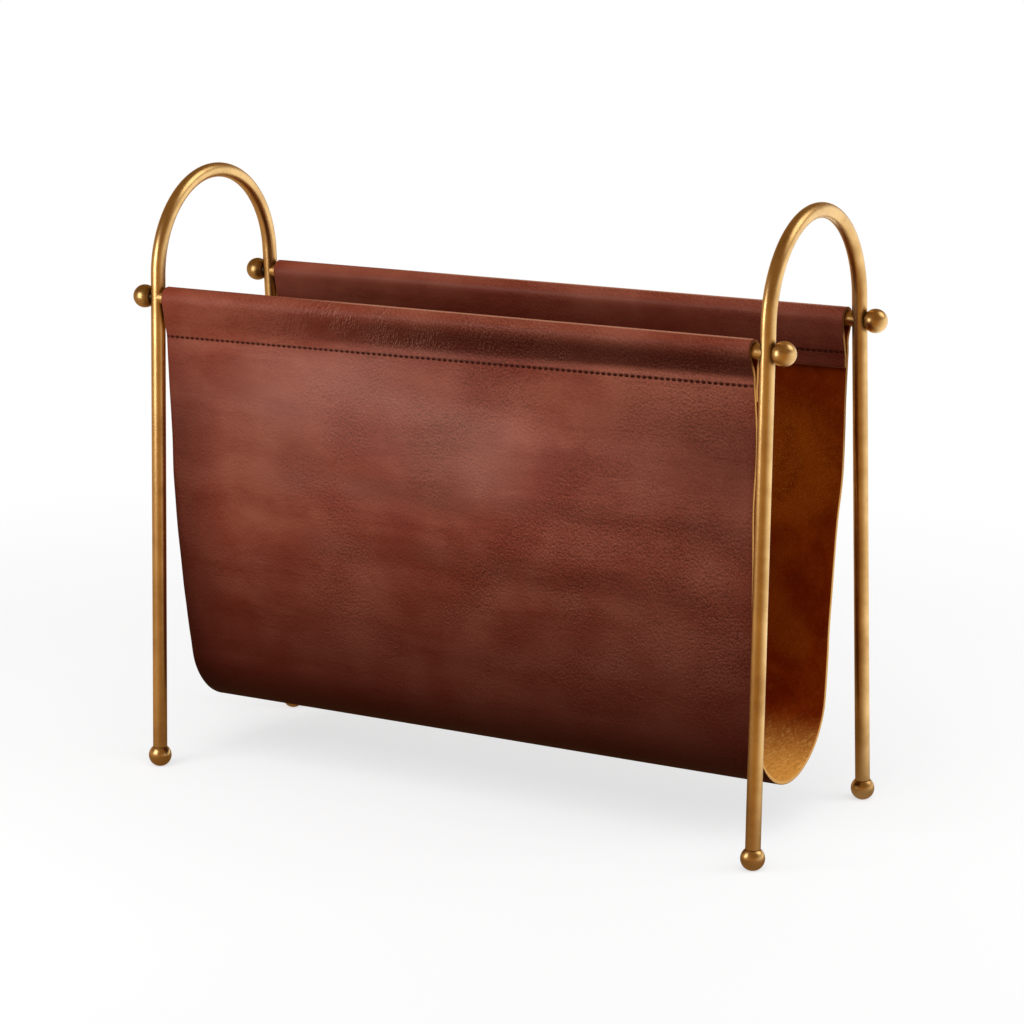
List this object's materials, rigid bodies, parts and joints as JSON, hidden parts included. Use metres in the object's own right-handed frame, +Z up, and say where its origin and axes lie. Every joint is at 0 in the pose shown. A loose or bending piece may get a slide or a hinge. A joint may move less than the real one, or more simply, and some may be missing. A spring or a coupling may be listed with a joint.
{
  "type": "magazine basket",
  "caption": "Free-standing magazine rack: a leather sling hangs from brass rods between round-topped hoops with ball feet and screw-on ball knobs.",
  "frame": {"origin": "on the floor under the middle of the rack, midway between the four feet", "axes": "+X along the rods to the right end, +Y to the back, +Z up"},
  "size_m": [0.4776, 0.1742, 0.395],
  "materials": {
    "leather": "waxed grain side out, soft suede flesh side in, raw cut edges",
    "thread": "waxed dark brown thread of the hem seams",
    "brass": "antique brushed satin",
    "steel": "plain threaded studs"
  },
  "bodies": {
    "frame": {"hoop_left": "brass", "hoop_right": "brass", "rod_front": "brass", "rod_back": "brass", "foot_front_left": "brass", "foot_front_right": "brass", "foot_back_left": "brass", "foot_back_right": "brass", "foot_stud_front_left": "steel", "foot_stud_front_right": "steel", "foot_stud_back_left": "steel", "foot_stud_back_right": "steel"},
    "sling": {"sling": "leather"},
    "knob_stud_front_left": {"knob_stud_front_left": "steel"},
    "knob_front_left": {"knob_front_left": "brass"},
    "knob_stud_front_right": {"knob_stud_front_right": "steel"},
    "knob_front_right": {"knob_front_right": "brass"},
    "knob_stud_back_left": {"knob_stud_back_left": "steel"},
    "knob_back_left": {"knob_back_left": "brass"},
    "knob_stud_back_right": {"knob_stud_back_right": "steel"},
    "knob_back_right": {"knob_back_right": "brass"}
  },
  "joints": [
    {"name": "sling_slide", "type": "slide", "parent": "frame", "child": "sling", "axis": [1, 0, 0], "range_m": [-0.0019, 0.0029]},
    {"name": "knob_front_left_travel", "type": "slide", "parent": "frame", "child": "knob_stud_front_left", "axis": [-1, 0, 0], "range_m": [0, 0.0081]},
    {"name": "knob_front_left_turn", "type": "hinge", "parent": "knob_stud_front_left", "child": "knob_front_left", "pos_m": [-0.2205, -0.06464, 0.3145], "axis": [-1, 0, 0], "range_deg": [0, 3600]},
    {"name": "knob_front_right_travel", "type": "slide", "parent": "frame", "child": "knob_stud_front_right", "axis": [1, 0, 0], "range_m": [0, 0.0081]},
    {"name": "knob_front_right_turn", "type": "hinge", "parent": "knob_stud_front_right", "child": "knob_front_right", "pos_m": [0.2205, -0.06464, 0.3145], "axis": [1, 0, 0], "range_deg": [0, 3600]},
    {"name": "knob_back_left_travel", "type": "slide", "parent": "frame", "child": "knob_stud_back_left", "axis": [-1, 0, 0], "range_m": [0, 0.0081]},
    {"name": "knob_back_left_turn", "type": "hinge", "parent": "knob_stud_back_left", "child": "knob_back_left", "pos_m": [-0.2205, 0.06464, 0.3145], "axis": [-1, 0, 0], "range_deg": [0, 3600]},
    {"name": "knob_back_right_travel", "type": "slide", "parent": "frame", "child": "knob_stud_back_right", "axis": [1, 0, 0], "range_m": [0, 0.0081]},
    {"name": "knob_back_right_turn", "type": "hinge", "parent": "knob_stud_back_right", "child": "knob_back_right", "pos_m": [0.2205, 0.06464, 0.3145], "axis": [1, 0, 0], "range_deg": [0, 3600]}
  ],
  "couplings": [
    {"joint": "knob_front_left_travel", "follows": "knob_front_left_turn", "m_per_rad": 0.00012732},
    {"joint": "knob_front_right_travel", "follows": "knob_front_right_turn", "m_per_rad": 0.00012732},
    {"joint": "knob_back_left_travel", "follows": "knob_back_left_turn", "m_per_rad": 0.00012732},
    {"joint": "knob_back_right_travel", "follows": "knob_back_right_turn", "m_per_rad": 0.00012732}
  ]
}
